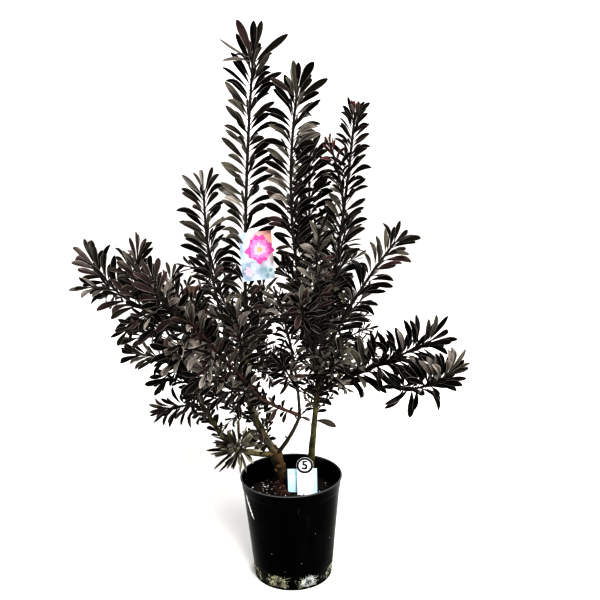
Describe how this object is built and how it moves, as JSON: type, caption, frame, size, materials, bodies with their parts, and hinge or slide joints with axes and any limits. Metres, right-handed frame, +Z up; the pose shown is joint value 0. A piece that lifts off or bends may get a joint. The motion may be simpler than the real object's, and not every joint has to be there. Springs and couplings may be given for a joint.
{
  "type": "potted leucadendron",
  "caption": "Young evergreen shrub with dark burgundy spoon-shaped leaves on upright and arching shoots, growing in a round black plastic nursery pot.",
  "frame": {"origin": "centre of the pot's flat underside, where the pot stands on the floor", "axes": "+Z up, -Y the front as seen in the picture, +X to the right seen from the front"},
  "size_m": [0.6473, 0.5787, 1.0609],
  "materials": {
    "pot_plastic": "satin black injection-moulded plastic",
    "potting_mix": "damp composted bark with white perlite",
    "brown_bark": "rough brown bark",
    "green_bark": "smooth olive-green bark with leaf scars",
    "red_bark": "smooth red-brown young bark",
    "foliage": "leathery dark burgundy leaves",
    "white_label": "white plastic",
    "blue_label": "pale blue printed plastic",
    "printed_tag": "glossy printed plastic card"
  },
  "bodies": {
    "root": {"pot": "pot_plastic", "potting_mix": "potting_mix", "trunk": "brown_bark", "left_bough": "green_bark", "middle_bough": "green_bark", "red_bough_lower": "red_bark", "red_bough_upper": "red_bark", "low_bough": "green_bark", "low_bough_upper": "green_bark", "right_bough": "green_bark", "right_side_bough": "red_bark", "back_left_bough": "green_bark", "back_right_bough": "green_bark", "arm_low_shoot": "foliage", "arm_middle_shoot": "foliage", "arm_outer_shoot": "foliage", "arm_under_shoot": "foliage", "arm_upper_shoot": "foliage", "back_centre_shoot": "foliage", "back_far_right_shoot": "foliage", "back_left_shoot": "foliage", "back_low_left_shoot": "foliage", "back_low_right_shoot": "foliage", "back_low_shoot": "foliage", "back_middle_shoot": "foliage", "back_right_shoot": "foliage", "back_tall_shoot": "foliage", "centre_tall_shoot": "foliage", "dark_left_shoot": "foliage", "far_left_shoot": "foliage", "front_rosette": "foliage", "front_upright_shoot": "foliage", "inner_left_shoot": "foliage", "inner_right_shoot": "foliage", "left_front_shoot": "foliage", "left_low_shoot": "foliage", "left_side_shoot": "foliage", "left_upright_shoot": "foliage", "low_left_shoot": "foliage", "low_rosette": "foliage", "low_side_shoot": "foliage", "low_twig_shoot": "foliage", "middle_shoot": "foliage", "near_left_shoot": "foliage", "orange_left_shoot": "foliage", "right_end_shoot": "foliage", "right_front_shoot": "foliage", "right_inner_shoot": "foliage", "right_middle_shoot": "foliage", "right_tall_shoot": "foliage", "tall_shoot": "foliage", "picture_tag": "printed_tag", "plain_label": "blue_label", "ring_label": "white_label"}
  },
  "joints": []
}
